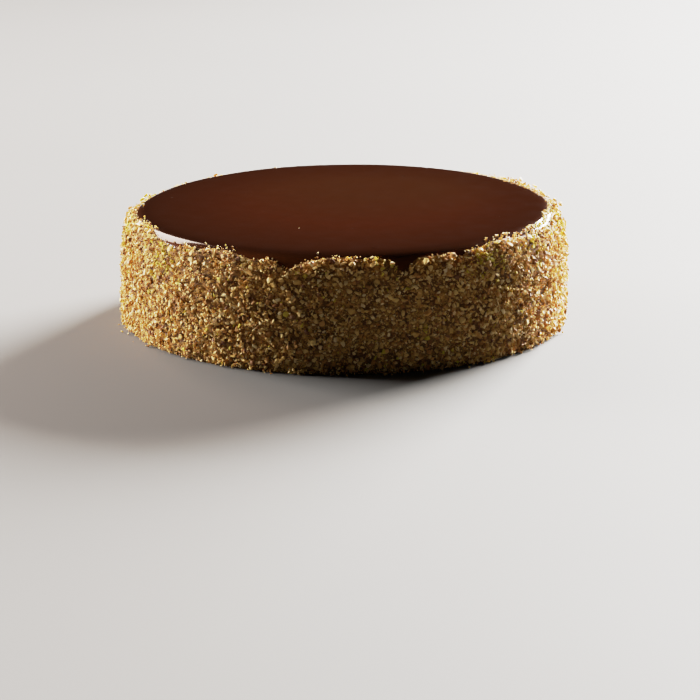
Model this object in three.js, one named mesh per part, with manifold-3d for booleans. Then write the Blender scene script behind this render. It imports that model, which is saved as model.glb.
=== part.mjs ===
// Tres leches cake: a low round of soaked sponge under a dark poured glaze, with chopped nuts
// pressed all round its side. Millimetres, +Z up, origin at the centre of the underside.
// The front is towards -Y, and angles round the cake run from there towards +X, in degrees.
import * as THREE from "three";
import { mergeVertices } from "three/addons/utils/BufferGeometryUtils.js";
import Module from "manifold-3d";

const { degToRad, lerp, seededRandom } = THREE.MathUtils;

// Driving dimensions
const COAT_DIAMETER = 216; // over the nuts, near the foot
const TOP_HEIGHT = 54.6; // the flat of the glaze above the underside
const COAT_THICKNESS = 3; // nuts outside the glaze
const GLAZE_THICKNESS = 3;
const GLAZE_HEM = 41; // height of the glaze's lower edge, behind the nuts
const CLEARANCE = 0.3; // free space between the glaze and the cake

// The side and the rounded shoulder are one superellipse, upright at the foot and flat on top:
// (r / radius)^SIDE_POWER + (z / height)^TOP_POWER = 1.
const SIDE_POWER = 32;
const TOP_POWER = 4.1;
const GLAZE_RADIUS = COAT_DIAMETER / 2 - COAT_THICKNESS;
const OUTSIDE_FACETS = { round: 72, up: 9 };
const INSIDE_FACETS = { round: 48, up: 5 }; // where the glaze and the cake hide each other
const LEAN = { towards: 125, rise: 1.5 }; // the cake is this much higher at one side of its top

// The nut coat is a staggered net round the side, with a bump or a hollow at each of its points.
const NET_COLUMNS = 184;
const NET_ROWS = 15;
const NET_JITTER = 0.22; // share of a mesh of the net
const BUMP_SHARE = 0.5; // of the points stand proud
const BUMP_DEPTH = { least: 0.4, most: 0.9 }; // under the tops of the coarse nuts
const HOLLOW_DEPTH = { least: 1.6, most: 2.3 };
const FOOT_INSET = 0.6; // the lowest nuts sit a little further in
const SIDE_WAVES = [
  { count: 3, depth: 0.12, turn: 20 },
  { count: 7, depth: 0.08, turn: 75 },
];

// The upper edge of the coat, and the places where it is pressed higher or bares the glaze.
const EDGE_HEIGHT = 53;
const EDGE_WAVES = [
  { count: 9, depth: 0.25, turn: 35 },
  { count: 23, depth: 0.3, turn: 110 },
];
const EDGE_PLACES = [
  { at: -69, width: 8, rise: 1.7 },
  { at: -50, width: 3.2, rise: -2 },
  { at: -35, width: 8, rise: 0.6 },
  { at: -23, width: 5, rise: -1 },
  { at: -14, width: 3, rise: -4.2 },
  { at: -3, width: 5, rise: 0.6 },
  { at: 15, width: 2.6, rise: -6.5 },
  { at: 30.5, width: 2.4, rise: -2.6 },
  { at: 45, width: 7, rise: 0.6 },
  { at: 122, width: 20, rise: 1.6 },
  { at: 180, width: 26, rise: -2.4 },
  { at: 240, width: 14, rise: -1 },
];
const EDGE_LIP = 0.5; // the edge's inner side lies this much lower
const LIP_HIGHEST = 51; // and no higher than this, inside the glaze's thickness
const COVERED_HEIGHT = 52; // a ring of the coat's surface under the glaze

// Coarse nuts, fused to the side: one in each cell of a staggered grid, and a row of them along
// the coat's upper edge.
const NUT_COLUMNS = 14;
const NUT_ROWS = 3;
const NUT_STRAY = 0.36; // share of a cell by which a nut strays from its middle
const NUT_LENGTH = { least: 3.4, most: 5.2 };
const RIM_NUTS = 38;
const RIM_NUT_LENGTH = { least: 3, most: 4.4 };
const RIM_NUT_RISE = { least: -2, most: -0.6 }; // of a nut's middle over the edge
const NUT_WIDTH = { least: 0.7, most: 0.95 }; // shares of a nut's length
const NUT_DEPTH = { least: 0.55, most: 0.75 };
const NUT_UNEVEN = 0.18; // share by which a nut's corners differ
const NUT_SINK = 0.18; // share of a nut's length by which its middle lies under the outline

const SEED = 8;

const wasm = await Module();
wasm.setup();
seededRandom(SEED);

function between({ least, most }) {
  return least + (most - least) * seededRandom();
}

function jitter(share) {
  return between({ least: -share, most: share });
}

function wavesAt(waves, angle) {
  let sum = 0;
  for (const wave of waves) {
    sum += wave.depth * Math.sin(degToRad(wave.count * angle + wave.turn));
  }
  return sum;
}

function pointRound(radius, angle, z) {
  const turn = degToRad(angle);
  return [radius * Math.sin(turn), -radius * Math.cos(turn), z];
}

function degreesBetween(angle, other) {
  const turn = Math.abs(angle - other) % 360;
  return Math.min(turn, 360 - turn);
}

// Radius at a height of the glaze's outside moved outwards by an offset.
function radiusAt(z, offset) {
  const share = 1 - (z / (TOP_HEIGHT + offset)) ** TOP_POWER;
  return (GLAZE_RADIUS + offset) * share ** (1 / SIDE_POWER);
}

// The geometry with one vertex at each of its corners.
function weld(geometry) {
  geometry.deleteAttribute("normal");
  geometry.deleteAttribute("uv");
  return mergeVertices(geometry);
}

// A closed geometry as a solid that can be joined and cut.
function toSolid(geometry) {
  const welded = weld(geometry);
  return new wasm.Manifold(
    new wasm.Mesh({
      numProp: 3,
      vertProperties: new Float32Array(welded.attributes.position.array),
      triVerts: new Uint32Array(welded.index.array),
    }),
  );
}

// Heights stretched towards one side, which leaves the underside flat.
function leaned(solid) {
  const [towardsX, towardsY] = pointRound(1, LEAN.towards, 0);
  const slope = LEAN.rise / TOP_HEIGHT / GLAZE_RADIUS;
  return solid.warp((point) => {
    point[2] *= 1 + slope * (point[0] * towardsX + point[1] * towardsY);
  });
}

function toMesh(name, solid, material) {
  const cut = leaned(solid).getMesh();
  const geometry = new THREE.BufferGeometry();
  geometry.setAttribute("position", new THREE.BufferAttribute(cut.vertProperties, 3));
  geometry.setIndex(new THREE.BufferAttribute(cut.triVerts, 1));
  geometry.computeVertexNormals();
  const mesh = new THREE.Mesh(geometry, material);
  mesh.name = name;
  return mesh;
}

// The rounded shoulder and all that is above a height, with the outline moved by an offset.
function domeSolid(offset, fromHeight, facets) {
  const top = TOP_HEIGHT + offset;
  const start = Math.asin((fromHeight / top) ** (TOP_POWER / 2));
  const profile = [new THREE.Vector2(0, fromHeight)];
  for (let step = 0; step < facets.up; step += 1) {
    const t = lerp(start, Math.PI / 2, step / facets.up);
    const radius = (GLAZE_RADIUS + offset) * Math.cos(t) ** (2 / SIDE_POWER);
    profile.push(new THREE.Vector2(radius, top * Math.sin(t) ** (2 / TOP_POWER)));
  }
  profile.push(new THREE.Vector2(0, top));
  return toSolid(new THREE.LatheGeometry(profile, facets.round).rotateX(Math.PI / 2));
}

// The glaze's cap over the top and the shoulder, with a margin added on every side of it.
function capSolid(margin) {
  const hem = GLAZE_HEM - margin;
  const outside = domeSolid(margin, hem, OUTSIDE_FACETS);
  const inside = domeSolid(-GLAZE_THICKNESS - margin, hem, INSIDE_FACETS);
  return outside.subtract(inside);
}

// Height of the coat's upper edge.
function edgeHeight(angle) {
  let height = EDGE_HEIGHT + wavesAt(EDGE_WAVES, angle);
  for (const place of EDGE_PLACES) {
    const away = degreesBetween(angle, place.at) / place.width;
    height += place.rise * Math.exp(-(away ** 2));
  }
  return height;
}

// Radius of the coat's outline, over the tops of its nuts.
function coatRadius(z, angle) {
  return radiusAt(z, COAT_THICKNESS) - Math.abs(wavesAt(SIDE_WAVES, angle));
}

function columnAngle(column, row) {
  return ((column + (row % 2) / 2) * 360) / NET_COLUMNS;
}

// One ring of the net up the side: row 0 is the foot, and row NET_ROWS the upper edge.
function sideRing(row) {
  const ring = [];
  for (let column = 0; column < NET_COLUMNS; column += 1) {
    const angle = columnAngle(column + jitter(NET_JITTER), row);
    const rise = row === 0 ? 0 : row + jitter(NET_JITTER);
    const z = (rise / NET_ROWS) * edgeHeight(angle);
    const depth = between(seededRandom() < BUMP_SHARE ? BUMP_DEPTH : HOLLOW_DEPTH);
    const inset = row === 0 ? FOOT_INSET : 0;
    ring.push(pointRound(coatRadius(z, angle) - depth - inset, angle, z));
  }
  return ring;
}

// A ring in the middle of the glaze's thickness, at a height given for each angle.
function coveredRing(row, heightAt) {
  const ring = [];
  for (let column = 0; column < NET_COLUMNS; column += 1) {
    const angle = columnAngle(column, row);
    const z = heightAt(angle);
    ring.push(pointRound(radiusAt(z, -GLAZE_THICKNESS / 2), angle, z));
  }
  return ring;
}

// The cake and its coat as one closed surface, with the top inside the glaze's thickness.
function coatedRound() {
  const rings = [];
  for (let row = 0; row <= NET_ROWS; row += 1) {
    rings.push(sideRing(row));
  }
  rings.push(coveredRing(rings.length, (angle) => Math.min(edgeHeight(angle) - EDGE_LIP, LIP_HIGHEST)));
  rings.push(coveredRing(rings.length, () => COVERED_HEIGHT));
  const positions = [...rings.flat(), [0, 0, 0], [0, 0, TOP_HEIGHT - GLAZE_THICKNESS / 2]];
  const summit = positions.length - 1;
  const underside = summit - 1;
  const last = rings.length - 1;
  const at = (row, column) => row * NET_COLUMNS + (column % NET_COLUMNS);
  const faces = [];
  for (let column = 0; column < NET_COLUMNS; column += 1) {
    faces.push(underside, at(0, column + 1), at(0, column));
    faces.push(summit, at(last, column), at(last, column + 1));
    for (let row = 0; row < last; row += 1) {
      const lower = [at(row, column), at(row, column + 1)];
      const upper = [at(row + 1, column), at(row + 1, column + 1)];
      // The diagonal follows the stagger, so that the triangles stay near equilateral.
      if (row % 2 === 0) {
        faces.push(lower[0], lower[1], upper[0], lower[1], upper[1], upper[0]);
      } else {
        faces.push(lower[0], upper[1], upper[0], lower[0], lower[1], upper[1]);
      }
    }
  }
  const geometry = new THREE.BufferGeometry();
  geometry.setAttribute("position", new THREE.Float32BufferAttribute(positions.flat(), 3));
  geometry.setIndex(faces);
  return toSolid(geometry);
}

// A chopped nut: an uneven lump, turned at random.
function nut(length, angle, z) {
  const lump = weld(new THREE.IcosahedronGeometry(length / 2));
  const corners = lump.attributes.position;
  for (let i = 0; i < corners.count; i += 1) {
    const stretch = 1 + jitter(NUT_UNEVEN);
    corners.setXYZ(i, corners.getX(i) * stretch, corners.getY(i) * stretch, corners.getZ(i) * stretch);
  }
  lump.scale(1, between(NUT_WIDTH), between(NUT_DEPTH));
  lump.rotateX(jitter(Math.PI));
  lump.rotateY(jitter(Math.PI));
  lump.rotateZ(jitter(Math.PI));
  lump.translate(...pointRound(coatRadius(z, angle) - NUT_SINK * length, angle, z));
  return toSolid(lump);
}

function coarseNuts() {
  const nuts = [];
  for (let row = 0; row < NUT_ROWS; row += 1) {
    for (let column = 0; column < NUT_COLUMNS; column += 1) {
      const length = between(NUT_LENGTH);
      const angle = (360 * (column + (row % 2) / 2 + jitter(NUT_STRAY))) / NUT_COLUMNS;
      const rise = (row + 0.5 + jitter(NUT_STRAY)) / NUT_ROWS;
      nuts.push(nut(length, angle, lerp(length / 2, edgeHeight(angle) - length, rise)));
    }
  }
  return nuts;
}

function rimNuts() {
  const nuts = [];
  for (let i = 0; i < RIM_NUTS; i += 1) {
    const angle = (360 * (i + jitter(NUT_STRAY))) / RIM_NUTS;
    nuts.push(nut(between(RIM_NUT_LENGTH), angle, edgeHeight(angle) + between(RIM_NUT_RISE)));
  }
  return nuts;
}

// The largest body of a solid: scraps that the cut leaves loose are dropped.
function withoutScraps(solid) {
  return solid.decompose().reduce((most, body) => (body.volume() > most.volume() ? body : most));
}

function cakeMesh() {
  const material = new THREE.MeshStandardMaterial({ color: 0xa97b3f, roughness: 0.85, metalness: 0 });
  const coated = wasm.Manifold.union([coatedRound(), ...coarseNuts(), ...rimNuts()]);
  return toMesh("cake", withoutScraps(coated.subtract(capSolid(CLEARANCE))), material);
}

function glazeMesh() {
  const material = new THREE.MeshStandardMaterial({ color: 0x4a2412, roughness: 0.12, metalness: 0 });
  return toMesh("glaze", capSolid(0), material);
}

const cake = new THREE.Group();
cake.add(cakeMesh());
cake.add(glazeMesh());

export default cake;
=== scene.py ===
# %% [markdown]
# # A round tres leches cake, glazed and coated with nuts
# The real cake is a low round of soaked sponge. A dark glaze is poured over it and runs down the
# rounded shoulder, and chopped nuts are pressed into the wet glaze all round the side.
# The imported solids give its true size, and every layer here is worked out from them.

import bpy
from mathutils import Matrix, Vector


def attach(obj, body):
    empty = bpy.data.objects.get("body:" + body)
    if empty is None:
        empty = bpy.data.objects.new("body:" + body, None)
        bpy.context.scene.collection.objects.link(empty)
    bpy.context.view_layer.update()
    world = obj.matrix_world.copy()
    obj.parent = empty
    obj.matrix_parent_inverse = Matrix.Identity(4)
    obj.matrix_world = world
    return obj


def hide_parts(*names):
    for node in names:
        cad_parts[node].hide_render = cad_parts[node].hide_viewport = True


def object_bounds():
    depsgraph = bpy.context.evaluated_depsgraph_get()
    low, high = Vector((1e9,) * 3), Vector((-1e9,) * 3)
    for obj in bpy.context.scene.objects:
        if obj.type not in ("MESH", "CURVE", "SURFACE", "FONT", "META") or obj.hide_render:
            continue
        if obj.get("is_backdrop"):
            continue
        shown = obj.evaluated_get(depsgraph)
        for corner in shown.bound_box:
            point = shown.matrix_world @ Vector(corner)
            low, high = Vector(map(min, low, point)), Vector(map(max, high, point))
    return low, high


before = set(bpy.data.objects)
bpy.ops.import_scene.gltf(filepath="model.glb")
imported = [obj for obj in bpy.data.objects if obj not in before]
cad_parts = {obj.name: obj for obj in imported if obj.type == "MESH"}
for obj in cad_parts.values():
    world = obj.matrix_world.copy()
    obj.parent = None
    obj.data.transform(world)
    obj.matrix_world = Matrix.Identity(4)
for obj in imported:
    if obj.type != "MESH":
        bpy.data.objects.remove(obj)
packed_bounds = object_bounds()
print("packed solids:", sorted(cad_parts))

# %% [markdown]
# ## The camera
# A cake is usually photographed with a long lens that looks down on it a little. A long lens
# keeps the far rim almost as wide as the near one. The camera comes first, because how high it
# stands decides how much of the top and how much of the side each later step has to serve.

# %% Camera
import math

import bmesh
import bpy
import numpy as np
from mathutils import Vector, noise

MM = 0.001
LENS_FIELD = math.radians(16)
LENS_PLACE = Vector((2.9, -1166.4, 308.6)) * MM
LENS_DOWN = math.radians(15.64)

lens = bpy.data.cameras.new("lens")
lens.angle = LENS_FIELD
lens.clip_start = 50 * MM
camera = bpy.data.objects.new("camera", lens)
camera.location = LENS_PLACE
camera.rotation_euler = (math.pi / 2 - LENS_DOWN, 0, 0)
bpy.context.scene.collection.objects.link(camera)
bpy.context.scene.camera = camera
print(f"camera: {math.degrees(LENS_FIELD):.0f} degrees wide, {math.degrees(LENS_DOWN):.1f} down")

# %% [markdown]
# ## One outline for every layer
# Seen from the side, the glazed cake is a box whose upper corner is softly rounded. A
# superellipse draws that in one formula, with an upright wall, a round shoulder and a flat top.
# Every layer uses the same formula moved in or out, so the layers lie on each other exactly.
# A soaked cake also never stands quite level, and this one is a millimetre and a half higher at
# one side. It is worked out level, and each piece is leaned at the end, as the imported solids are.

# %% The outline
SIDE_POWER = 32
TOP_POWER = 4.1
GLAZE_THICKNESS = 3 * MM
COAT_THICKNESS = 3 * MM
LEAN_TOWARDS = math.radians(125)
LEAN = 0.2616  # share by which heights grow, for each metre towards that side


def lean_of(points):
    """What the lean multiplies the height of each point by."""
    return 1 + LEAN * (points[:, 0] * math.sin(LEAN_TOWARDS) - points[:, 1] * math.cos(LEAN_TOWARDS))


def packed_points(node):
    """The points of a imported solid, with its lean taken away."""
    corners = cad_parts[node].data.vertices
    points = np.empty(len(corners) * 3)
    corners.foreach_get("co", points)
    points = points.reshape(-1, 3)
    points[:, 2] /= lean_of(points)
    return points


packed_glaze = packed_points("glaze")
TOP = packed_glaze[:, 2].max()
HEM = packed_glaze[:, 2].min()
hem_radius = np.hypot(packed_glaze[:, 0], packed_glaze[:, 1]).max()
GLAZE_RADIUS = hem_radius / (1 - (HEM / TOP) ** TOP_POWER) ** (1 / SIDE_POWER)


def radius_at(z, offset=0.0):
    """Radius at a height of the glazed outline, moved outwards by an offset."""
    share = np.clip(1 - (z / (TOP + offset)) ** TOP_POWER, 0, 1)
    return (GLAZE_RADIUS + offset) * share ** (1 / SIDE_POWER)


def point_round(radius, angle, z):
    """The point at an angle round the cake, in radians from the front towards +X."""
    return np.stack(np.broadcast_arrays(radius * np.sin(angle), -radius * np.cos(angle), z), axis=-1)


print(f"glaze: radius {GLAZE_RADIUS / MM:.1f} mm, top {TOP / MM:.1f} mm, hem {HEM / MM:.1f} mm")

# %% [markdown]
# ## Turned surfaces
# The glaze, the sponge and the bed of ground nuts are all round, as if thrown on a wheel. The
# screw modifier could spin an outline. Here each ring is written as a row of points instead,
# so that a little unevenness can be given to every point before the faces are made.

# %% Turned surfaces
ROUND = 360  # points in each ring


def turned(profile, columns=ROUND):
    """Points and faces of an outline of (radius, height) pairs, spun round the upright axis.

    An outline that starts and ends on the axis is closed there, and any other one is a ring.
    A radius or a height can also be an array, with a value for each column."""
    on_axis = np.all(profile[0][0] == 0)
    outline = profile[1:-1] if on_axis else profile
    angles = np.arange(columns) * 2 * math.pi / columns
    points = np.concatenate([point_round(radius, angles, z) for radius, z in outline])
    faces = []
    spans = len(outline) - 1 if on_axis else len(outline)
    for span in range(spans):
        low, high = span * columns, (span + 1) % len(outline) * columns
        for column in range(columns):
            beside = (column + 1) % columns
            faces.append((low + column, low + beside, high + beside, high + column))
    if on_axis:
        under, over = len(points), len(points) + 1
        points = np.concatenate([points, [(0, 0, profile[0][1]), (0, 0, profile[-1][1])]])
        for column in range(columns):
            beside = (column + 1) % columns
            faces.append((under, beside, column))
            faces.append((over, high + column, high + beside))
    return points, faces


def make_piece(name, points, faces, material, smooth=True):
    """A mesh object that leans as the cake does and rides on it."""
    points = np.array(points, dtype=float)
    points[:, 2] *= lean_of(points)
    mesh = bpy.data.meshes.new(name)
    mesh.from_pydata(points.tolist(), [], faces)
    if smooth:
        mesh.shade_smooth()
    mesh.materials.append(material)
    piece = bpy.data.objects.new(name, mesh)
    bpy.context.scene.collection.objects.link(piece)
    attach(piece, "root")
    print(f"{name}: {len(mesh.vertices)} points, {len(mesh.polygons)} faces")
    return piece


def store(piece, name, values):
    """Keeps a number for each point of a piece, for its material to read."""
    piece.data.attributes.new(name, "FLOAT", "POINT").data.foreach_set("value", values)


# %% [markdown]
# ## Where the nuts stop
# The cook's hand presses the nuts up to just under the flat of the glaze. Their upper edge
# wanders in two waves, and at some places it climbs the shoulder or drops and bares it. Each
# such place is a bump of the edge: where it is, how wide, and how far it rises or falls. The
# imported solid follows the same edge, and measuring both shows that they agree.

# %% The coat's upper edge
EDGE_HEIGHT = 53 * MM
EDGE_WAVES = ((9, 0.25 * MM, 35), (23, 0.3 * MM, 110))  # count, depth, turn in degrees
EDGE_PLACES = (
    # degrees round the cake, half the width in degrees, rise in mm
    (-69, 8, 1.7),
    (-50, 3.2, -2),
    (-35, 8, 0.6),
    (-23, 5, -1),
    (-14, 3, -4.2),
    (-3, 5, 0.6),
    (15, 2.6, -6.5),
    (30.5, 2.4, -2.6),
    (45, 7, 0.6),
    (122, 20, 1.6),
    (180, 26, -2.4),
    (240, 14, -1),
)


def edge_at(angle):
    """Height of the coat's upper edge at an angle round the cake."""
    degrees = np.degrees(angle)
    height = EDGE_HEIGHT + 0 * degrees
    for count, depth, turn in EDGE_WAVES:
        height += depth * np.sin(np.radians(count * degrees + turn))
    for at, width, rise in EDGE_PLACES:
        away = (degrees - at + 180) % 360 - 180
        height += rise * MM * np.exp(-((away / width) ** 2))
    return height


COAT_STARTS = 0.9 * MM  # how far outside the glaze a point of the solid belongs to its coat
SLICES = 90

coat = packed_points("cake")
coat = coat[np.hypot(coat[:, 0], coat[:, 1]) > radius_at(coat[:, 2]) + COAT_STARTS]
coat_angles = np.arctan2(coat[:, 0], -coat[:, 1])
slices = np.floor(coat_angles / math.tau * SLICES).astype(int) % SLICES
slice_tops = np.array([coat[slices == index, 2].max() for index in range(SLICES)])
slice_edges = edge_at((np.arange(SLICES) + 0.5) / SLICES * math.tau)
print(f"upper edge: {slice_edges.min() / MM:.1f} to {slice_edges.max() / MM:.1f} mm")
print(f"the solid's nuts stand {np.mean(slice_tops - slice_edges) / MM:.1f} mm over it on average")

# %% [markdown]
# ## The coarsest nuts
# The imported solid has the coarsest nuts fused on. They are found again as the points that
# stand proudest of its outline, so that a real nut can lie on each of them.

# %% Find the coarsest nuts
PROUD = 0.05 * MM
PROUD_APART = 3.5 * MM

standing = np.hypot(coat[:, 0], coat[:, 1]) - radius_at(coat[:, 2], COAT_THICKNESS)
proud_spots = []
for index in np.argsort(-standing)[: (standing > PROUD).sum()]:
    if all(np.linalg.norm(coat[index] - spot) > PROUD_APART for spot in proud_spots):
        proud_spots.append(coat[index])
proud_spots = np.array(proud_spots)
print(f"coarse nuts on the solid: {len(proud_spots)}")

# %% [markdown]
# ## Building materials from nodes
# Food is never one flat colour. Each finish below mixes two or three colours by a noise of the
# right grain, and lets another noise vary its gloss and its fine relief. The noises read the
# position on the cake in metres, so a grain of 2 mm stays 2 mm from any side.

# %% Helpers for materials
def linear(red, green, blue):
    """A colour as the shader wants it, from the 0 to 255 values that a paint program shows."""
    shares = [channel / 255 for channel in (red, green, blue)]
    return tuple(s / 12.92 if s <= 0.04045 else ((s + 0.055) / 1.055) ** 2.4 for s in shares) + (1,)


class Finish:
    """A material and short ways to add nodes to it."""

    def __init__(self, name):
        self.material = bpy.data.materials.new(name)
        self.material.use_nodes = True
        self.tree = self.material.node_tree
        self.shader = self.tree.nodes["Principled BSDF"]
        self.place = self.tree.nodes.new("ShaderNodeTexCoord").outputs["Object"]

    def join(self, source, socket):
        """Links one node's output to another one's input."""
        self.tree.links.new(source, socket)

    def grain(self, size, detail=3, roughness=0.5):
        """Noise of 0 to 1 whose lumps are about this size."""
        node = self.tree.nodes.new("ShaderNodeTexNoise")
        node.inputs["Scale"].default_value = 1 / size
        node.inputs["Detail"].default_value = detail
        node.inputs["Roughness"].default_value = roughness
        self.join(self.place, node.inputs["Vector"])
        return node.outputs["Fac"]

    def distance(self, point):
        """How far away from a point of the cake, in metres."""
        node = self.tree.nodes.new("ShaderNodeVectorMath")
        node.operation = "DISTANCE"
        node.inputs[1].default_value = point
        self.join(self.place, node.inputs[0])
        return node.outputs["Value"]

    def attribute(self, name):
        """A number that is stored on the points."""
        node = self.tree.nodes.new("ShaderNodeAttribute")
        node.attribute_name = name
        return node.outputs["Fac"]

    def spread(self, value, start, end, low=0.0, high=1.0):
        """The value's span from start to end, stretched over low to high."""
        node = self.tree.nodes.new("ShaderNodeMapRange")
        sockets = ("From Min", "From Max", "To Min", "To Max")
        for socket, number in zip(sockets, (start, end, low, high)):
            node.inputs[socket].default_value = number
        self.join(value, node.inputs["Value"])
        return node.outputs["Result"]

    def blend(self, share, first, second):
        """Two colours, each a fixed one or another blend's, mixed by a share."""
        node = self.tree.nodes.new("ShaderNodeMix")
        node.data_type = "RGBA"
        self.join(share, node.inputs["Factor"])
        # A mix node has two inputs for each type of data. The colours are at 6 and 7.
        for colour, socket in ((first, node.inputs[6]), (second, node.inputs[7])):
            if isinstance(colour, tuple):
                socket.default_value = colour
            else:
                self.join(colour, socket)
        return node.outputs[2]

    def relief(self, height, depth, over=None):
        """Fine relief, on top of a coarser one if that is given."""
        node = self.tree.nodes.new("ShaderNodeBump")
        node.inputs["Distance"].default_value = depth
        self.join(height, node.inputs["Height"])
        if over:
            self.join(over, node.inputs["Normal"])
        return node.outputs["Normal"]

    def finish(self, colour, roughness, normal):
        """Joins the three to the shader, and hands over the material."""
        self.join(colour, self.shader.inputs["Base Color"])
        self.join(roughness, self.shader.inputs["Roughness"])
        self.join(normal, self.shader.inputs["Normal"])
        return self.material


# %% [markdown]
# ## The glaze's finish
# The glaze is a milk caramel darkened with cocoa. It levels itself while it sets, so it is
# almost a mirror. Its colour carries painted light: a paler, milkier painted sheen round a point
# at the middle and back of the top, and painted shade that turns it deeper and redder towards
# the rim and the front. On the steep shoulder a lighter colour is painted light, standing in for
# light that the caramel scatters there. A distance from a point gives each slow change, a number
# stored on the points marks the painted shoulder light, noise clouds it, and a low wave bends the
# highlights.

# %% Glaze finish
# The paler first colour is a painted sheen for the middle of the top, and the last one is painted
# light for the shoulder.
GLAZE_PAINTED_SHEEN = linear(40, 18, 6)
GLAZE_RED = linear(40, 14, 4)
GLAZE_DEEP = linear(27, 9, 3)
GLAZE_PAINTED_SHOULDER_LIGHT = linear(70, 33, 12)
PAINTED_SHEEN_MIDDLE = (16 * MM, 34 * MM, TOP)
PAINTED_RIM_SHADE_MIDDLE = (8 * MM, 6 * MM, TOP)


def glaze_finish():
    glaze = Finish("poured_glaze")
    # Painted sheen: paler and milkier round a point at the middle and back of the top.
    painted_sheen = glaze.spread(glaze.distance(PAINTED_SHEEN_MIDDLE), 25 * MM, 75 * MM)
    # Painted shade: the glaze turns deeper towards the rim.
    painted_rim_shade_and_thin_meal = glaze.spread(glaze.distance(PAINTED_RIM_SHADE_MIDDLE), 50 * MM, 108 * MM)
    clouds = glaze.spread(glaze.grain(60 * MM, detail=2), 0.35, 0.65, 0.0, 0.3)
    mottle = glaze.spread(glaze.grain(6 * MM, detail=3), 0.3, 0.7, 0.0, 0.15)
    colour = glaze.blend(painted_sheen, GLAZE_PAINTED_SHEEN, GLAZE_RED)
    colour = glaze.blend(clouds, colour, GLAZE_RED)
    colour = glaze.blend(painted_rim_shade_and_thin_meal, colour, GLAZE_DEEP)
    colour = glaze.blend(mottle, colour, GLAZE_DEEP)
    # Painted light on the steep shoulder, lighter than the glaze.
    colour = glaze.blend(glaze.attribute("shoulder_painted_light"), colour, GLAZE_PAINTED_SHOULDER_LIGHT)
    roughness = glaze.spread(glaze.grain(9 * MM), 0.3, 0.7, 0.08, 0.13)
    waves = glaze.relief(glaze.grain(14 * MM, detail=1), 0.06 * MM)
    specks = glaze.relief(glaze.grain(0.9 * MM, detail=2), 0.004 * MM, over=waves)
    return glaze.finish(colour, roughness, specks)


glaze_material = glaze_finish()
print("finish:", glaze_material.name)

# %% [markdown]
# ## The poured glaze
# The glaze is a cap: its outside runs from the hem behind the nuts, over the shoulder, to the
# middle of the top, and its underside follows 3 mm further in. The superellipse is walked by
# an angle that crowds its points where the shoulder bends. A few long waves, far too low to
# measure, are added so that the reflections wander.

# %% Poured glaze
seeded = np.random.default_rng(21)
SHOULDER_RINGS = 44
FLAT_RINGS = 26
WAVES = 7
WAVE_LENGTHS = (26, 80)  # mm
WAVE_STEEPNESS = 0.00028  # depth for length
SHOULDER_LIGHT_FROM = 0.5 * MM  # how far under the flat the painted shoulder light begins
SHOULDER_LIGHT_FALL = 3 * MM  # from there, how far down it reaches full strength


def cap_outline(offset, from_height):
    """(radius, height) pairs up the outline and in to the middle of the top."""
    top = TOP + offset
    start = math.asin((from_height / top) ** (TOP_POWER / 2))
    bends = np.linspace(start, math.pi / 2, SHOULDER_RINGS)[:-1]
    side = []
    for bend in bends:
        radius = (GLAZE_RADIUS + offset) * math.cos(bend) ** (2 / SIDE_POWER)
        side.append((radius, top * math.sin(bend) ** (2 / TOP_POWER)))
    flat = [(radius, top) for radius in np.linspace(side[-1][0], 0, FLAT_RINGS)[1:]]
    return side + flat


def poured(points):
    """The points with long low waves over the top and the shoulder."""
    moved = points.copy()
    for _ in range(WAVES):
        heading = seeded.uniform(0, math.tau)
        length = seeded.uniform(*WAVE_LENGTHS) * MM
        depth = WAVE_STEEPNESS * length
        across = points[:, 0] * math.cos(heading) + points[:, 1] * math.sin(heading)
        moved[:, 2] += depth * np.sin(across / length * math.tau + seeded.uniform(0, math.tau))
    return moved


inside = cap_outline(-GLAZE_THICKNESS, HEM)[::-1]
outside = cap_outline(0, HEM)
glaze_points, glaze_faces = turned(inside + outside)
glaze_piece = make_piece("poured_glaze", poured(glaze_points), glaze_faces, glaze_material)
# Painted light on the shoulder, growing from just under the flat.
shoulder_painted_light = np.clip((TOP - SHOULDER_LIGHT_FROM - glaze_points[:, 2]) / SHOULDER_LIGHT_FALL, 0, 1)
store(glaze_piece, "shoulder_painted_light", shoulder_painted_light)
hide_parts("glaze")

# %% [markdown]
# ## Burst bubbles
# A poured glaze traps a few air bubbles, and each leaves a shallow ring when it bursts. Bump
# nodes could fake them, but a ring of real shape catches the light from every side. One is easy
# to find, near the front edge, and a few smaller ones are scattered over the top.

# %% Burst bubbles
FRONT_BUBBLE = Vector((14.0, -87.4)) * MM
FRONT_BUBBLE_SIZE = 1.5 * MM
BUBBLES = 9
BUBBLE_SIZES = (0.35 * MM, 0.8 * MM)
BUBBLES_WITHIN = 0.85  # of the glaze's radius
BUBBLE_COLUMNS = 28


def bubble_outline(size):
    """A low ring with a hollow in it, standing in the glaze."""
    crest = 0.06 * size
    return [
        (0, -crest),
        (1.25 * size, -crest),
        (1.2 * size, 0.1 * crest),
        (1.05 * size, 0.75 * crest),
        (0.92 * size, crest),
        (0.78 * size, 0.7 * crest),
        (0.5 * size, 0.25 * crest),
        (0, 0.15 * crest),
    ]


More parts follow.
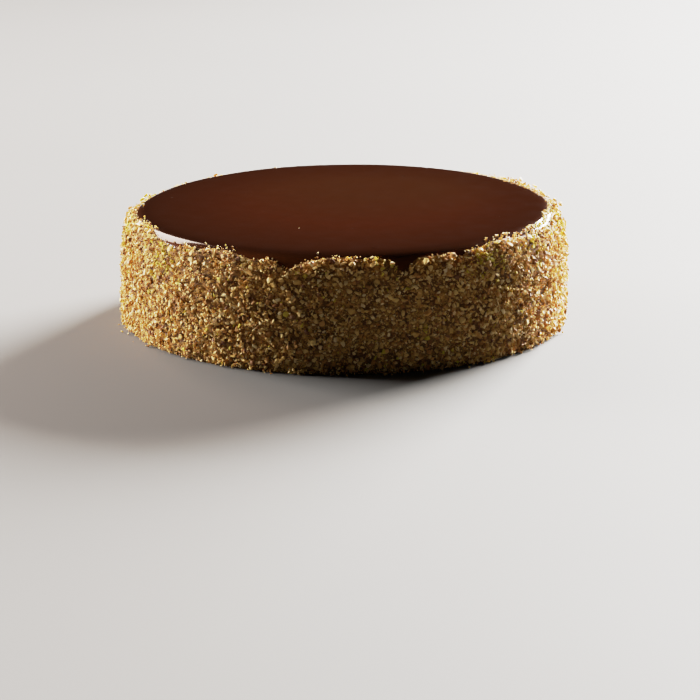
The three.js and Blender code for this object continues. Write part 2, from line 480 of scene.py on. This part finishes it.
bubble_spots = [(FRONT_BUBBLE.x, FRONT_BUBBLE.y, FRONT_BUBBLE_SIZE)]
for _ in range(BUBBLES):
    reach = GLAZE_RADIUS * BUBBLES_WITHIN * math.sqrt(seeded.uniform(0.05, 1))
    angle = seeded.uniform(0, math.tau)
    size = seeded.uniform(*BUBBLE_SIZES)
    bubble_spots.append((reach * math.sin(angle), -reach * math.cos(angle), size))
bubble_points, bubble_faces = [], []
for x, y, size in bubble_spots:
    points, faces = turned(bubble_outline(size), columns=BUBBLE_COLUMNS)
    start = len(bubble_points)
    # Near the rim the shoulder has begun to fall, and a bubble there lies lower.
    level = TOP * (1 - (math.hypot(x, y) / GLAZE_RADIUS) ** SIDE_POWER) ** (1 / TOP_POWER)
    bubble_points.extend(points + (x, y, level))
    bubble_faces.extend(tuple(start + corner for corner in face) for face in faces)
make_piece("burst_bubbles", bubble_points, bubble_faces, glaze_material)

# %% [markdown]
# ## The sponge
# The sponge shows only from below: soaked in milk, it is pale, soft and full of small holes,
# and its colour turns deeper where the milk pooled. It is turned like the glaze, one layer
# further in, and left flat where it stands.

# %% Sponge
BED_THICKNESS = 1 * MM  # of the ground nuts round it, below the glaze's hem
SPONGE_GAP = 0.2 * MM
UNDERSIDE_RINGS = 30
SPONGE_CRUMB = linear(226, 196, 138)
SPONGE_SOAKED = linear(198, 158, 96)
SPONGE_HOLE = linear(160, 118, 66)


def sponge_finish():
    sponge = Finish("soaked_sponge")
    soaked = sponge.spread(sponge.grain(30 * MM), 0.35, 0.65)
    holes = sponge.spread(sponge.grain(1.3 * MM, detail=4), 0.36, 0.5)
    colour = sponge.blend(soaked, SPONGE_CRUMB, SPONGE_SOAKED)
    colour = sponge.blend(holes, SPONGE_HOLE, colour)
    roughness = sponge.spread(soaked, 0, 1, 0.85, 0.6)
    return sponge.finish(colour, roughness, sponge.relief(holes, 0.5 * MM))


sponge_offset = -GLAZE_THICKNESS - SPONGE_GAP
sponge_radius = GLAZE_RADIUS - BED_THICKNESS - 2 * SPONGE_GAP
underside = [(radius, 0) for radius in np.linspace(0, sponge_radius, UNDERSIDE_RINGS)]
sponge_side = [(sponge_radius, HEM - SPONGE_GAP)]
sponge_top = cap_outline(sponge_offset, HEM)
sponge_points, sponge_faces = turned(underside + sponge_side + sponge_top)
sponge_piece = make_piece("sponge", sponge_points, sponge_faces, sponge_finish())

# %% [markdown]
# ## The bed of ground nuts
# Chopping nuts makes meal as well, and the meal sticks to the wet glaze first. So what shows in
# the gaps of the coat is no mirror but a dull, golden brown paste, with the dark glaze in it
# where the meal is thin. It is a skin round the sponge: it goes up over the shoulder to just
# under the coat's edge, where it thins out into the glaze. Its grain is too fine to model, so
# it is bump and colour, and only its dents are real.

# %% Bed of ground nuts
BED_RINGS = 48
BED_UNDER_EDGE = 0.7 * MM
BED_RISE = 0.16 * MM  # out of the glaze
BED_INSIDE = -0.4 * MM  # how deep it reaches into the glaze
BED_DENTS = 0.14 * MM
BED_DENT_SIZE = 3.5 * MM
MEAL_GRAIN = 0.9 * MM
MEAL_DARK = linear(118, 76, 28)
MEAL_LIGHT = linear(192, 144, 71)
GLAZE_THROUGH = linear(66, 33, 12)


def bed_finish():
    bed = Finish("ground_nut_bed")
    grains = bed.grain(MEAL_GRAIN, detail=3, roughness=0.6)
    colour = bed.blend(bed.spread(grains, 0.4, 0.62), MEAL_DARK, MEAL_LIGHT)
    painted_rim_shade_and_thin_meal = bed.spread(bed.grain(6 * MM, detail=2), 0.42, 0.6, 0.0, 0.7)
    colour = bed.blend(painted_rim_shade_and_thin_meal, colour, GLAZE_THROUGH)
    bed.shader.inputs["Specular IOR Level"].default_value = 0.15
    roughness = bed.spread(grains, 0.3, 0.7, 0.6, 0.85)
    dents = bed.relief(bed.grain(2.4 * MM), 0.5 * MM)
    return bed.finish(colour, roughness, bed.relief(grains, 0.3 * MM, over=dents))


def dented(points):
    """The bed's points, pushed in and out by the nuts that are pressed into it."""
    moved = points.copy()
    for i, point in enumerate(points):
        dent = BED_DENTS * noise.noise(Vector(point) / BED_DENT_SIZE)
        moved[i, :2] *= 1 + dent / math.hypot(point[0], point[1])
    return moved


bed_top = edge_at(np.arange(ROUND) * math.tau / ROUND) - BED_UNDER_EDGE
bed_shares = np.linspace(0, 1, BED_RINGS) ** 0.6
bed_outside = [(radius_at(share * bed_top, BED_RISE), share * bed_top) for share in bed_shares[:-1]]
bed_rim = [(radius_at(bed_top, BED_INSIDE / 2), bed_top)]
bed_inside = []
for share in bed_shares[-2::-1]:
    z = share * bed_top
    bed_inside.append((radius_at(z, np.where(z < HEM, -BED_THICKNESS, BED_INSIDE)), z))
bed_points, bed_faces = turned(bed_outside + bed_rim + bed_inside)
bed_piece = make_piece("ground_nut_bed", dented(bed_points), bed_faces, bed_finish())

# %% [markdown]
# ## The side, unrolled
# To spread nuts evenly, the wall is unrolled like a label: one way is the distance up the wall
# and over the shoulder, the other the distance round. A list of places along the outline turns
# each spot of the label back into a place on the cake, with the direction that faces out of it.

# %% Unrolled side
LABEL_TOP = 53.9 * MM
LABEL_LENGTH = math.tau * GLAZE_RADIUS
CLIMB_STEPS = 400

climb_z = LABEL_TOP * np.linspace(0, 1, CLIMB_STEPS) ** 0.5
climb_r = radius_at(climb_z)
steps = np.hypot(np.diff(climb_r), np.diff(climb_z))
climb = np.concatenate([[0], np.cumsum(steps)])
climb_out = np.gradient(climb_z, climb)
climb_up = -np.gradient(climb_r, climb)
LABEL_HEIGHT = climb[-1]


def on_wall(up, along):
    """Places on the glazed wall for spots of the label, and the directions that face outwards."""
    angle = along / GLAZE_RADIUS
    places = point_round(np.interp(up, climb, climb_r), angle, np.interp(up, climb, climb_z))
    facing = point_round(np.interp(up, climb, climb_out), angle, np.interp(up, climb, climb_up))
    return places, facing / np.linalg.norm(facing, axis=-1, keepdims=True)


print(f"label: {LABEL_LENGTH / MM:.0f} by {LABEL_HEIGHT / MM:.1f} mm")

# %% [markdown]
# ## How thick the coat is
# A palm presses more nuts on in one place than in the next, and a coat of even thickness would
# look machined. One way is to push the finished coat in and out. Here two noises, one in wide
# patches and one in small ones, set how thick the coat may become before any nut is laid.

# %% Thickness of the coat
DEEPEST_COAT = 3.3 * MM
THINNEST_COAT = 1.2 * MM
WIDE_PATCH = 8 * MM
SMALL_PATCH = 3 * MM


def coat_limit(place):
    """How thick the coat may become here."""
    wide = noise.noise(Vector(place) / WIDE_PATCH)
    small = noise.noise(Vector(place) / SMALL_PATCH)
    patch = 0.5 + 0.5 * wide + 0.8 * small
    return THINNEST_COAT + (DEEPEST_COAT - THINNEST_COAT) * min(max(patch, 0), 1)


print(f"coat: {THINNEST_COAT / MM:.1f} to {DEEPEST_COAT / MM:.1f} mm thick")

# %% [markdown]
# ## Pressing the nuts on
# Scattering nuts at random would sink them into each other. Instead they are laid one by one
# on a map of the coat's depth, the coarse ones first, as a cook's palm does it: each lies on
# what is already under it, raises the map there, and is dropped where the coat would become
# too thick. The gaps that stay show the bed of ground nuts.

# %% Lay the nuts on a depth map
GRADES = (
    # kind of chop, how many are tried, and their least and greatest length
    ("coarse", 700, 2.6 * MM, 3.6 * MM),
    ("medium", 13000, 1.6 * MM, 2.9 * MM),
    ("fine", 24000, 0.9 * MM, 1.6 * MM),
    ("meal", 16000, 0.5 * MM, 0.9 * MM),
)
MAP_CELL = 0.25 * MM
SETTLE = 0.35  # share of the highest neighbour in what a nut rests on
EDGE_FRINGE = 0.45 * MM
EDGE_LUCK = 0.25 * MM  # with so many tries, the luckiest nuts set the edge this much higher
# These are shares of a nut's length.
FLATNESS = 0.66  # its thickness
HALF_PATCH = 0.38  # half the width of the patch that it covers
SINKS_IN = 0.1  # how far the next nut sinks into the patch
STANDS_OUT = 0.25  # how far it may stand out of the coat
UPPER_END = 0.35  # how far it reaches up from its middle
FOOT_ROOM = 0.42  # how high the lowest nuts keep their middle
MIDDLE_AT = 0.4 * FLATNESS  # how high its middle is over what it lies on

depth_map = np.zeros((int(LABEL_HEIGHT / MAP_CELL) + 1, int(LABEL_LENGTH / MAP_CELL)))
laid = {grade: [] for grade, *_ in GRADES}
for grade, tries, least, greatest in GRADES:
    lengths = np.sort(seeded.uniform(least, greatest, tries))[::-1]
    up = seeded.uniform(0, LABEL_HEIGHT, tries)
    along = seeded.uniform(0, LABEL_LENGTH, tries)
    places, facing = on_wall(up, along)
    limits = edge_at(along / GLAZE_RADIUS) + seeded.normal(-EDGE_LUCK, EDGE_FRINGE, tries)
    for i in range(tries):
        length = lengths[i]
        if places[i, 2] < FOOT_ROOM * length:
            continue
        reach = max(1, round(HALF_PATCH * length / MAP_CELL))
        row, column = int(up[i] / MAP_CELL), int(along[i] / MAP_CELL)
        rows = np.arange(max(row - reach, 0), min(row + reach + 1, depth_map.shape[0]))[:, None]
        columns = np.arange(column - reach, column + reach + 1)[None, :] % depth_map.shape[1]
        under = depth_map[rows, columns]
        lies_at = under.mean() * (1 - SETTLE) + under.max() * SETTLE
        surface = lies_at + FLATNESS * length
        upright = 1 - facing[i, 2]
        reaches_up_to = places[i, 2] + facing[i, 2] * surface + upright * UPPER_END * length
        if surface > coat_limit(places[i]) + STANDS_OUT * length or reaches_up_to > limits[i]:
            continue
        depth_map[rows, columns] = np.maximum(under, surface - SINKS_IN * length)
        laid[grade].append((up[i], along[i], lies_at + MIDDLE_AT * length, length))
    print(f"{grade}: {len(laid[grade])} of {tries} laid")
print(f"coat: {depth_map.mean() / MM:.2f} mm deep on average, {(depth_map == 0).mean():.0%} bare")

# %% [markdown]
# ## The shape of a chopped nut
# A knife leaves flat faces and sharp corners, so a chopped nut is nearer to a splinter of stone
# than to a pebble. Random points on a flattened egg shape, wrapped in their convex hull, give
# that look with few faces. A dozen shapes for each grade are enough, because every nut is
# turned and stretched its own way.

# %% Nut shapes
SHAPES = 12
SHAPE_CORNERS = {"coarse": 18, "medium": 12, "fine": 9, "meal": 7}
BLOCKINESS = 0.7  # below 1 it pushes the points out towards the corners of a box
UNEVENNESS = (0.78, 1.08)
HALF_LENGTH = 0.5
HALF_WIDTHS = (0.28, 0.47)
HALF_HEIGHTS = (0.2, 0.38)


def chopped_shape(corners):
    """Points and triangles of one chopped nut of length 1."""
    directions = seeded.normal(size=(corners, 3))
    directions /= np.linalg.norm(directions, axis=1, keepdims=True)
    blocky = np.sign(directions) * np.abs(directions) ** BLOCKINESS
    blocky *= seeded.uniform(*UNEVENNESS, size=(corners, 1))
    blocky *= (HALF_LENGTH, seeded.uniform(*HALF_WIDTHS), seeded.uniform(*HALF_HEIGHTS))
    shape = bmesh.new()
    for point in blocky:
        shape.verts.new(point)
    bmesh.ops.convex_hull(shape, input=shape.verts)
    bmesh.ops.delete(shape, geom=[v for v in shape.verts if not v.link_faces], context="VERTS")
    bmesh.ops.triangulate(shape, faces=shape.faces)
    shape.verts.index_update()
    points = np.array([v.co for v in shape.verts])
    faces = np.array([[v.index for v in face.verts] for face in shape.faces])
    shape.free()
    return points, faces


shapes = {}
for grade, corners in SHAPE_CORNERS.items():
    shapes[grade] = [chopped_shape(corners) for _ in range(SHAPES)]
    print(f"{grade}: about {np.mean([len(faces) for _, faces in shapes[grade]]):.0f} faces each")

# %% [markdown]
# ## Kinds of nut pieces
# Chopped nuts differ by what part of the nut each is: golden roasted flesh, paler cut faces,
# darker toasted ones, brown bits with skin on them, and a few greenish yellow ones. Each kind is
# one mesh with a finish of its own, and each nut gets a random tone stored on its points, so
# that no two neighbours match. Light also sinks a little way into the oily flesh and comes out
# warmer, which a low subsurface weight gives.

# %% Nut finishes
def nut_finish(name, dark, middle, pale):
    """A finish whose colour goes from dark to pale with each nut's tone."""
    nuts = Finish(name)
    tone = nuts.attribute("tone")
    colour = nuts.blend(nuts.spread(tone, 0.0, 0.5), dark, middle)
    colour = nuts.blend(nuts.spread(tone, 0.5, 1.0), colour, pale)
    flecks = nuts.spread(nuts.grain(0.7 * MM, detail=2), 0.5, 0.72, 0.0, 0.3)
    colour = nuts.blend(flecks, colour, dark)
    roughness = nuts.spread(nuts.grain(1.1 * MM), 0.3, 0.7, 0.55, 0.8)
    nuts.shader.inputs["Specular IOR Level"].default_value = 0.3
    nuts.shader.inputs["Subsurface Weight"].default_value = 0.2
    nuts.shader.inputs["Subsurface Radius"].default_value = (1.0, 0.8, 0.45)
    nuts.shader.inputs["Subsurface Scale"].default_value = 0.9 * MM
    return nuts.finish(colour, roughness, nuts.relief(nuts.grain(0.4 * MM, detail=4), 0.06 * MM))


KINDS = {
    "golden_nuts": nut_finish(
        "golden_nut_flesh", linear(188, 142, 70), linear(209, 167, 90), linear(225, 187, 112)
    ),
    "pale_nuts": nut_finish(
        "pale_nut_flesh", linear(211, 171, 100), linear(229, 195, 128), linear(243, 215, 158)
    ),
    "toasted_nuts": nut_finish(
        "toasted_nut_flesh", linear(158, 107, 48), linear(187, 133, 66), linear(207, 157, 85)
    ),
    "skin_nuts": nut_finish(
        "brown_nut_skin", linear(96, 56, 20), linear(136, 87, 35), linear(174, 120, 54)
    ),
    "yellow_nuts": nut_finish(
        "yellow_nut_flesh", linear(166, 138, 30), linear(203, 177, 50), linear(221, 200, 82)
    ),
    "nut_meal": nut_finish(
        "ground_nuts", linear(152, 102, 44), linear(197, 146, 73), linear(225, 185, 110)
    ),
}
print("kinds:", ", ".join(KINDS))

# %% [markdown]
# ## Turning every nut
# Laying out thousands of objects would be slow, so the points of all nuts of a kind are worked
# out as arrays. Each nut lies roughly flat on the wall, is spun at random and tilts as its
# neighbours push it. Coarse nuts tilt least, because the palm presses them flat.

# %% Turned nuts
TILT = {"coarse": 0.3, "medium": 0.5, "fine": 0.7, "meal": 0.9}
TILT_SPREAD = 0.6
STRETCH = (0.85, 1.15)


def turn_frames(facing, tilt):
    """For each nut three directions at right angles, the last of them near its facing."""
    outward = facing + tilt * seeded.normal(size=facing.shape) * TILT_SPREAD
    outward /= np.linalg.norm(outward, axis=1, keepdims=True)
    lengthwise = np.cross(outward, seeded.normal(size=facing.shape))
    lengthwise /= np.linalg.norm(lengthwise, axis=1, keepdims=True)
    return np.stack([lengthwise, np.cross(outward, lengthwise), outward], axis=1)


def placed_nuts(grade, middles, facing, lengths, tones):
    """Points, faces and tones of all these nuts."""
    frames = turn_frames(facing, TILT[grade])
    stretch = seeded.uniform(*STRETCH, size=(len(middles), 3)) * lengths[:, None]
    which = seeded.integers(SHAPES, size=len(middles))
    all_points, all_faces, all_tones, count = [], [], [], 0
    for index, (points, faces) in enumerate(shapes[grade]):
        chosen = np.flatnonzero(which == index)
        local = points[None, :, :] * stretch[chosen][:, None, :]
        world = middles[chosen][:, None, :] + np.einsum("npk,nkx->npx", local, frames[chosen])
        offsets = count + len(points) * np.arange(len(chosen))
        all_points.append(world.reshape(-1, 3))
        all_faces.append((faces[None, :, :] + offsets[:, None, None]).reshape(-1, 3))
        all_tones.append(np.repeat(tones[chosen], len(points)))
        count += len(points) * len(chosen)
    return np.concatenate(all_points), np.concatenate(all_faces), np.concatenate(all_tones)


grade_names = ", ".join(f"{grade} {tilt}" for grade, tilt in TILT.items())
print(f"tilts: {grade_names}")

# %% [markdown]
# ## Which nut is of which kind
# Most kinds are mixed evenly, as they come from the knife. The yellow ones aren't: they lie
# together in spots near the upper edge, as if a pinch of them had stuck. So each nut first draws
# its kind by fixed shares, and may then be turned into a yellow one, the more likely the nearer
# it lies to the middle of a spot.

# %% Kinds of all nuts
KIND_SHARES = {
    "golden_nuts": 0.36,
    "pale_nuts": 0.3,
    "toasted_nuts": 0.21,
    "skin_nuts": 0.1,
    "yellow_nuts": 0.03,
}
YELLOW_SPOTS = (
    # degrees round the cake, height in mm
    (39, 48),
    (-52, 46),
    (11, 52),
    (57, 47),
    (68, 52),
    (81, 46),
    (-80, 47),
    (205, 48),
    (-110, 50),
    (150, 44),
)
YELLOW_SPOT_SIZE = 6.5 * MM
YELLOW_SPOT_SHARE = 0.95
PROUD_LENGTH = 3.2 * MM
PROUD_MIDDLE = 0.4  # of its length, how far a coarse nut's middle is under the solid's point

nuts_of = {kind: [] for kind in KINDS}


def yellow_share(middles):
    """How likely each nut is a yellow one."""
    share = np.zeros(len(middles))
    for degrees, height in YELLOW_SPOTS:
        spot = point_round(radius_at(height * MM), math.radians(degrees), height * MM)
        away = np.linalg.norm(middles - spot, axis=1) / YELLOW_SPOT_SIZE
        share = np.maximum(share, YELLOW_SPOT_SHARE * np.exp(-(away**2)))
    return share


def share_out(grade, middles, facing, lengths):
    """Gives each nut a kind and a tone, and keeps its mesh for that kind's piece."""
    chance = seeded.uniform(size=len(middles))
    kinds = seeded.choice(list(KIND_SHARES), p=list(KIND_SHARES.values()), size=len(middles))
    kinds[chance < yellow_share(middles)] = "yellow_nuts"
    if grade == "meal":
        kinds[:] = "nut_meal"
    tones = seeded.uniform(size=len(middles))
    for kind in KINDS:
        own = kinds == kind
        if own.any():
            batch = placed_nuts(grade, middles[own], facing[own], lengths[own], tones[own])
            nuts_of[kind].append(batch)


for grade, nuts in laid.items():
    up, along, out, lengths = np.array(nuts).T
    places, facing = on_wall(up, along)
    share_out(grade, places + facing * out[:, None], facing, lengths)
print("nuts on the wall:", sum(len(nuts) for nuts in laid.values()))

along = np.arctan2(proud_spots[:, 0], -proud_spots[:, 1]) * GLAZE_RADIUS
_, facing = on_wall(np.interp(proud_spots[:, 2], climb_z, climb), along)
middles = proud_spots - facing * PROUD_MIDDLE * PROUD_LENGTH
share_out("coarse", middles, facing, np.full(len(along), PROUD_LENGTH))
print("coarse nuts where the solid has them:", len(along))

# %% [markdown]
# ## Fallen and straying nuts
# Some nuts roll off the palm. They lie round the foot of the coat, and a few stick to the
# shoulder above the edge. On the right the coat creeps up the shoulder in a ragged fringe. They
# matter more than their number suggests, because a coat that stops on a clean line looks
# printed. Those that are easy to see are listed one by one, and the rest lie at random.

# %% Fallen and straying nuts
FALLEN = 44
FALLEN_SEEN = (-19, -17, 36, 49)  # degrees round the cake
FALLEN_LENGTHS = (0.8, 2.3)  # mm
FALLEN_FROM = 2.4 * MM  # outside the glazed wall
FALLEN_SPREAD = 0.9 * MM
FALLEN_REACH = 4 * MM
LIFT = 0.1 * MM
STRAYS = 26
STRAYS_SEEN = (-101, -115, -125, -134)
STRAY_LENGTHS = (0.7, 1.8)
STRAY_SEEN_LENGTHS = (1.5, 2.1)
STRAY_REACH = 98.7 * MM
STRAY_SPREAD = 0.6 * MM
CREEPING = 190
CREEPING_WHERE = (np.radians(66), np.radians(10))  # middle and spread of where the coat creeps up
CREEPING_RISE = (-0.5 * MM, 0.5 * MM)
STUCK_BY = 0.2  # of its length, how far a nut's middle lies off the shoulder that it sticks to
TOP_SPECK = Vector((-20.5, -49.7)) * MM
TOP_SPECK_LENGTH = 0.6 * MM

angles = np.concatenate([np.radians(FALLEN_SEEN), seeded.uniform(0, math.tau, FALLEN)])
lengths = seeded.uniform(*FALLEN_LENGTHS, len(angles)) * MM
rolled = seeded.exponential(FALLEN_SPREAD, len(angles)).clip(0, FALLEN_REACH)
heights = 0.5 * FLATNESS * lengths + LIFT
middles = point_round(GLAZE_RADIUS + FALLEN_FROM + rolled, angles, heights)
share_out("fine", middles, np.tile((0.0, 0.0, 1.0), (len(angles), 1)), lengths)

stray_angles = seeded.uniform(0, math.tau, STRAYS)
angles = np.concatenate([stray_angles, seeded.normal(*CREEPING_WHERE, CREEPING)])
stray_rises = seeded.normal(0, STRAY_SPREAD, STRAYS)
rises = np.concatenate([stray_rises, seeded.uniform(*CREEPING_RISE, CREEPING)])
up = np.interp(np.minimum(edge_at(angles) + rises, LABEL_TOP), climb_z, climb)
up = np.concatenate([up, np.interp(-STRAY_REACH, -climb_r, climb) * np.ones(len(STRAYS_SEEN))])
angles = np.concatenate([angles, np.radians(STRAYS_SEEN)])
places, facing = on_wall(up, angles * GLAZE_RADIUS)
stray_lengths = seeded.uniform(*STRAY_LENGTHS, STRAYS + CREEPING)
seen_lengths = seeded.uniform(*STRAY_SEEN_LENGTHS, len(STRAYS_SEEN))
lengths = np.concatenate([stray_lengths, seen_lengths]) * MM
share_out("fine", places + facing * lengths[:, None] * STUCK_BY, facing, lengths)

speck = np.array([(TOP_SPECK.x, TOP_SPECK.y, TOP + 0.05 * MM)])
share_out("meal", speck, np.array([(0.0, 0.0, 1.0)]), np.array([TOP_SPECK_LENGTH]))
fallen_count = FALLEN + len(FALLEN_SEEN)
stray_count = STRAYS + len(STRAYS_SEEN)
print(f"{fallen_count} fallen, {stray_count} straying, {CREEPING} creeping up")

# %% [markdown]
# ## The coat as pieces
# All nuts of a kind become one mesh. Their faces stay flat shaded, because it is the flat cut
# faces that glitter when the light grazes the side. Together with the sponge and the bed of
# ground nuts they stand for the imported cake.

# %% The coat's pieces
for kind, batches in nuts_of.items():
    counts = np.cumsum([0] + [len(points) for points, _, _ in batches])
    points = np.concatenate([points for points, _, _ in batches])
    faces = np.concatenate([faces + start for (_, faces, _), start in zip(batches, counts)])
    points[:, 2] = np.maximum(points[:, 2], 0)
    piece = make_piece(kind, points, faces.tolist(), KINDS[kind], smooth=False)
    store(piece, "tone", np.concatenate([tones for _, _, tones in batches]))
    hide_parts("cake")
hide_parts("cake")
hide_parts("cake")

# %% [markdown]
# ## The floor
# The cake is set down on something plain and pale, so that its own colours are read easily. One
# large square does. Its colour and gloss drift a little, because nothing real is one flat tone.

# %% Floor
FLOOR_REACH = 3.0
FLOOR_CORNERS = ((-1, -1), (1, -1), (1, 1), (-1, 1))
FLOOR_GREY = linear(85, 83, 81)
FLOOR_PALE = linear(90, 88, 86)

floor_corners = [(x * FLOOR_REACH, y * FLOOR_REACH, 0) for x, y in FLOOR_CORNERS]
floor_mesh = bpy.data.meshes.new("floor")
floor_mesh.from_pydata(floor_corners, [], [(0, 1, 2, 3)])
floor = bpy.data.objects.new("floor", floor_mesh)
bpy.context.scene.collection.objects.link(floor)
floor_finish = Finish("pale_floor")
floor_cloud = floor_finish.spread(floor_finish.grain(0.25), 0, 1, 0.7, 0.8)
floor_colour = floor_finish.blend(floor_cloud, FLOOR_GREY, FLOOR_PALE)
floor_relief = floor_finish.relief(floor_finish.grain(1 * MM), 0.02 * MM)
floor_mesh.materials.append(floor_finish.finish(floor_colour, floor_cloud, floor_relief))
floor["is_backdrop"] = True
print(f"floor: {2 * FLOOR_REACH:.0f} m square")

# %% [markdown]
# ## The light
# Two large soft lights stand low behind the cake, one on each side. They rake over the coat, so
# that every nut throws a little shadow. A weaker, warmer one stands higher at the back, only to
# mirror in the glaze's shoulder. The right one has a narrow beam, or the floor on its own side
# would burn out. The pale floor throws enough light back to keep the near side readable, and
# the room stays dark: the glaze would mirror a bright one and lose its brown.

# %% Light
LIGHT_DISTANCE = 3.0
NEAR_WHITE = (1, 0.97, 0.93)
WARM = (1, 0.76, 0.63)
WIDE_BEAM = 180
ROOM = (0.008, 0.0077, 0.0073, 1)


def soft_light(name, azimuth, elevation, size, power, colour=NEAR_WHITE, beam=WIDE_BEAM):
    """A rectangular light that looks at the cake, at an azimuth from the front towards +X."""
    light = bpy.data.lights.new(name, "AREA")
    light.spread = math.radians(beam)
    light.shape = "RECTANGLE"
    light.size, light.size_y = size
    light.energy = power
    light.color = colour
    lamp = bpy.data.objects.new(name, light)
    turn, rise = math.radians(azimuth), math.radians(elevation)
    flat = LIGHT_DISTANCE * math.cos(rise)
    lamp.location = (flat * math.sin(turn), -flat * math.cos(turn), LIGHT_DISTANCE * math.sin(rise))
    lamp.rotation_euler = (-lamp.location).to_track_quat("-Z", "Y").to_euler()
    bpy.context.scene.collection.objects.link(lamp)


soft_light("left_light", -113, 14, (1.7, 1.3), 515)
soft_light("far_left_light", -141, 31, (1.5, 1.1), 80, colour=WARM)
soft_light("right_light", 144, 14, (1.6, 1.1), 262, beam=64)
world = bpy.data.worlds.new("dim_room")
world.use_nodes = True
world.node_tree.nodes["Background"].inputs["Color"].default_value = ROOM
bpy.context.scene.world = world

# %% [markdown]
# ## A film for the strong light
# The lights behind are many times stronger than what reaches the near side, so a plain picture
# burns out on the floor and on the far side of the coat. Film doesn't: what is dark or middling
# comes out true, and only the strong light is pressed together below white. Blender's own
# film-like views shift the darker colours as well, so a curve is drawn here instead.

# %% Film
FILM_TRUE_UP_TO = 0.35
FILM_WHITE = 0.97
FILM_LIGHTS = (0.1, 0.2, 0.3, 0.4, 0.5, 0.65, 0.85, 1.1, 1.5, 2.2, 3.5, 5, 8)


def film_answer(light):
    """How bright a light comes out on the film."""
    room = FILM_WHITE - FILM_TRUE_UP_TO
    over = max(light - FILM_TRUE_UP_TO, 0)
    return min(light, FILM_TRUE_UP_TO) + room * over / (room + over)


view = bpy.context.scene.view_settings
view.view_transform = "Standard"
view.use_curve_mapping = True
film = view.curve_mapping
# The curve runs from 0 to 1, which stand for no light and for the strongest one.
strongest = FILM_LIGHTS[-1]
film.white_level = (strongest, strongest, strongest)
curve = film.curves[3]  # the one for all three colours at once
curve.points[-1].location = (1, film_answer(strongest))
for light in FILM_LIGHTS[:-1]:
    curve.points.new(light / strongest, film_answer(light))
film.update()
answers = [(light, film.evaluate(curve, light / strongest)) for light in (0.05, 0.3, 1, 2, 4)]
print("film:", ", ".join(f"{light} gives {answer:.2f}" for light, answer in answers))

# %% [markdown]
# ## Does the dressed cake keep its size?
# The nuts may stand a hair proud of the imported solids, but no more. The box of the dressed
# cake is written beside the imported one, so that the two can be compared.

# %% Size
dressed_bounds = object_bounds()
for label, (low, high) in (("packed", packed_bounds), ("dressed", dressed_bounds)):
    print(label, " x ".join(f"{(b - a) / MM:.1f}" for a, b in zip(low, high)), "mm")
